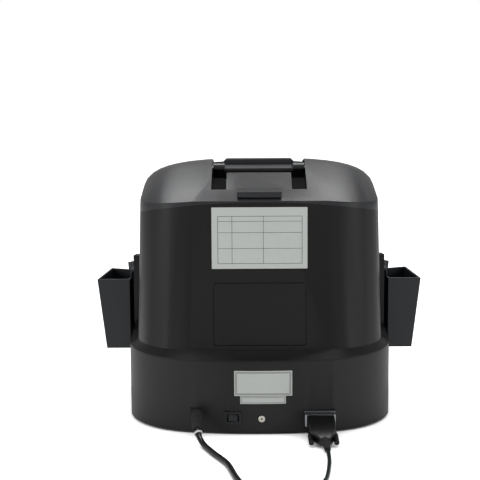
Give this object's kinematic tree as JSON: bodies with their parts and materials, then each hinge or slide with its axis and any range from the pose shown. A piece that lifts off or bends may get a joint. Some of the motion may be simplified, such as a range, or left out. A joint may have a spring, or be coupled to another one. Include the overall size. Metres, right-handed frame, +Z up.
{
  "type": "coin sorting machine",
  "caption": "Desktop coin sorting machine with a flip-back hopper lid, a spinning sorting disc and a fan of lift-off coin cups around its front.",
  "frame": {"origin": "centre of the footprint of the machine without its cords, on the surface it stands on", "axes": "+Z up, +Y towards the back with the switch and sockets, cup fan towards -Y"},
  "size_m": [0.355, 0.6007, 0.266],
  "materials": {
    "housing_abs": "fine moulded texture, satin",
    "dark_abs": "satin moulded",
    "floor_plate": "black powder coat",
    "soft_rubber": "matt",
    "label_film": "printed film",
    "display_pane": "polished",
    "circuit_board": "solder mask",
    "steel": "zinc plated",
    "disc_coating": "ribbed rubber coating",
    "pale_plastic": "moulded",
    "cord_pvc": "soft PVC"
  },
  "bodies": {
    "root": {"base_shell": "housing_abs", "base_plate": "floor_plate", "rubber_feet": "soft_rubber", "base_screws": "steel", "upper_shell": "housing_abs", "coin_skirt": "housing_abs", "top_cover": "housing_abs", "control_panel": "housing_abs", "hopper_bowl": "dark_abs", "lid_pins": "steel", "fault_label": "label_film", "rating_labels": "label_film", "display_window": "display_pane", "lcd_module": "circuit_board", "key_board": "circuit_board", "mechanism_deck": "steel", "sorting_ring": "steel", "coin_chutes": "dark_abs", "shaft_bearings": "steel", "bearing_tower": "dark_abs", "drive_belt": "soft_rubber", "drive_motor": "steel", "motor_bracket": "dark_abs", "sensor_board": "circuit_board", "main_board": "circuit_board", "power_board": "circuit_board", "transformer": "steel", "switch_body": "dark_abs", "serial_socket": "steel", "earth_ring": "pale_plastic", "cord_gland": "soft_rubber", "cord_ring": "pale_plastic", "mains_cord": "cord_pvc", "mains_coil": "cord_pvc", "mains_plug": "cord_pvc", "printer_plug": "dark_abs", "printer_cord": "cord_pvc", "printer_coil": "cord_pvc", "printer_jack": "cord_pvc", "coil_ties": "pale_plastic"},
    "lid": {"hopper_lid": "housing_abs"},
    "hatch": {"service_hatch": "housing_abs"},
    "rocker": {"switch_rocker": "dark_abs"},
    "disc": {"coin_disc": "disc_coating", "disc_shaft": "steel", "disc_pulley": "dark_abs"},
    "motor_rotor": {"motor_pulley": "steel"},
    "key_1_cap": {"key_1": "dark_abs"},
    "key_2_cap": {"key_2": "dark_abs"},
    "key_3_cap": {"key_3": "dark_abs"},
    "key_4_cap": {"key_4": "dark_abs"},
    "key_5_cap": {"key_5": "dark_abs"},
    "key_6_cap": {"key_6": "dark_abs"},
    "coin_cup_1_body": {"coin_cup_1": "dark_abs"},
    "coin_cup_2_body": {"coin_cup_2": "dark_abs"},
    "coin_cup_3_body": {"coin_cup_3": "dark_abs"},
    "coin_cup_4_body": {"coin_cup_4": "dark_abs"},
    "coin_cup_5_body": {"coin_cup_5": "dark_abs"},
    "coin_cup_6_body": {"coin_cup_6": "dark_abs"}
  },
  "joints": [
    {"name": "lid_hinge", "type": "hinge", "parent": "root", "child": "lid", "pos_m": [0, 0.04005, 0.25774], "axis": [-1, 0, 0], "range_deg": [0, 164]},
    {"name": "hatch_pull", "type": "slide", "parent": "root", "child": "hatch", "axis": [0, 1, 0], "range_m": [0, 0.04]},
    {"name": "rocker_tilt", "type": "hinge", "parent": "root", "child": "rocker", "pos_m": [0.028, 0.15985, 0.018], "axis": [0, 0, 1], "range_deg": [0, 16]},
    {"name": "disc_turn", "type": "hinge", "parent": "root", "child": "disc", "pos_m": [0, 0.01205, 0.182], "axis": [0, 0, 1], "continuous": true},
    {"name": "motor_turn", "type": "hinge", "parent": "root", "child": "motor_rotor", "pos_m": [-0.052, 0.05005, 0.16], "axis": [0, 0, 1], "continuous": true},
    {"name": "key_1_press", "type": "slide", "parent": "root", "child": "key_1_cap", "axis": [0, 0.7736, -0.6336], "range_m": [0, 0.0015], "stiffness_N_per_m": 300, "springref_m": -0.001},
    {"name": "key_2_press", "type": "slide", "parent": "root", "child": "key_2_cap", "axis": [0, 0.7736, -0.6336], "range_m": [0, 0.0015], "stiffness_N_per_m": 300, "springref_m": -0.001},
    {"name": "key_3_press", "type": "slide", "parent": "root", "child": "key_3_cap", "axis": [0, 0.7736, -0.6336], "range_m": [0, 0.0015], "stiffness_N_per_m": 300, "springref_m": -0.001},
    {"name": "key_4_press", "type": "slide", "parent": "root", "child": "key_4_cap", "axis": [0, 0.7736, -0.6336], "range_m": [0, 0.0015], "stiffness_N_per_m": 300, "springref_m": -0.001},
    {"name": "key_5_press", "type": "slide", "parent": "root", "child": "key_5_cap", "axis": [0, 0.7736, -0.6336], "range_m": [0, 0.0015], "stiffness_N_per_m": 300, "springref_m": -0.001},
    {"name": "key_6_press", "type": "slide", "parent": "root", "child": "key_6_cap", "axis": [0, 0.7736, -0.6336], "range_m": [0, 0.0015], "stiffness_N_per_m": 300, "springref_m": -0.001},
    {"name": "coin_cup_1_lift", "type": "slide", "parent": "root", "child": "coin_cup_1_body", "axis": [0, 0, 1], "range_m": [0, 0.05]},
    {"name": "coin_cup_2_lift", "type": "slide", "parent": "root", "child": "coin_cup_2_body", "axis": [0, 0, 1], "range_m": [0, 0.05]},
    {"name": "coin_cup_3_lift", "type": "slide", "parent": "root", "child": "coin_cup_3_body", "axis": [0, 0, 1], "range_m": [0, 0.05]},
    {"name": "coin_cup_4_lift", "type": "slide", "parent": "root", "child": "coin_cup_4_body", "axis": [0, 0, 1], "range_m": [0, 0.05]},
    {"name": "coin_cup_5_lift", "type": "slide", "parent": "root", "child": "coin_cup_5_body", "axis": [0, 0, 1], "range_m": [0, 0.05]},
    {"name": "coin_cup_6_lift", "type": "slide", "parent": "root", "child": "coin_cup_6_body", "axis": [0, 0, 1], "range_m": [0, 0.05]}
  ],
  "couplings": [
    {"joint": "motor_turn", "follows": "disc_turn", "ratio": 4}
  ]
}
